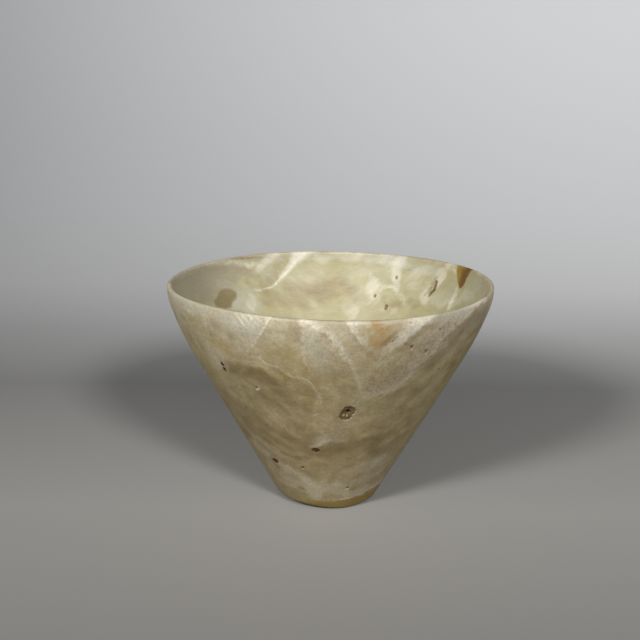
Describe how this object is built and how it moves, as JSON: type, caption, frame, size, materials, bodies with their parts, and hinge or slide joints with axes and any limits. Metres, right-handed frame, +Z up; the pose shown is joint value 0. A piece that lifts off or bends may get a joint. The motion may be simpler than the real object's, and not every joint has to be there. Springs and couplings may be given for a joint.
{
  "type": "egyptian stone vase",
  "caption": "Open conical cup ground from banded translucent travertine, with a thin upright lip, a small flat foot and earth-filled natural pits.",
  "frame": {"origin": "centre of the foot's flat face, on the surface that the cup stands on", "axes": "+Z up along the cup's axis, -Y towards the side that the picture shows"},
  "size_m": [0.122, 0.122, 0.086],
  "materials": {
    "travertine": "satin ground and rubbed calcite, translucent where the wall is thin",
    "pit_crust": "matte, rough",
    "pit_grains": "matte",
    "pit_earth": "matte, rough"
  },
  "bodies": {
    "root": {"vessel": "travertine", "flank_pit_crust": "pit_crust", "flank_pit_grains": "pit_grains", "pit_earth": "pit_earth"}
  },
  "joints": []
}
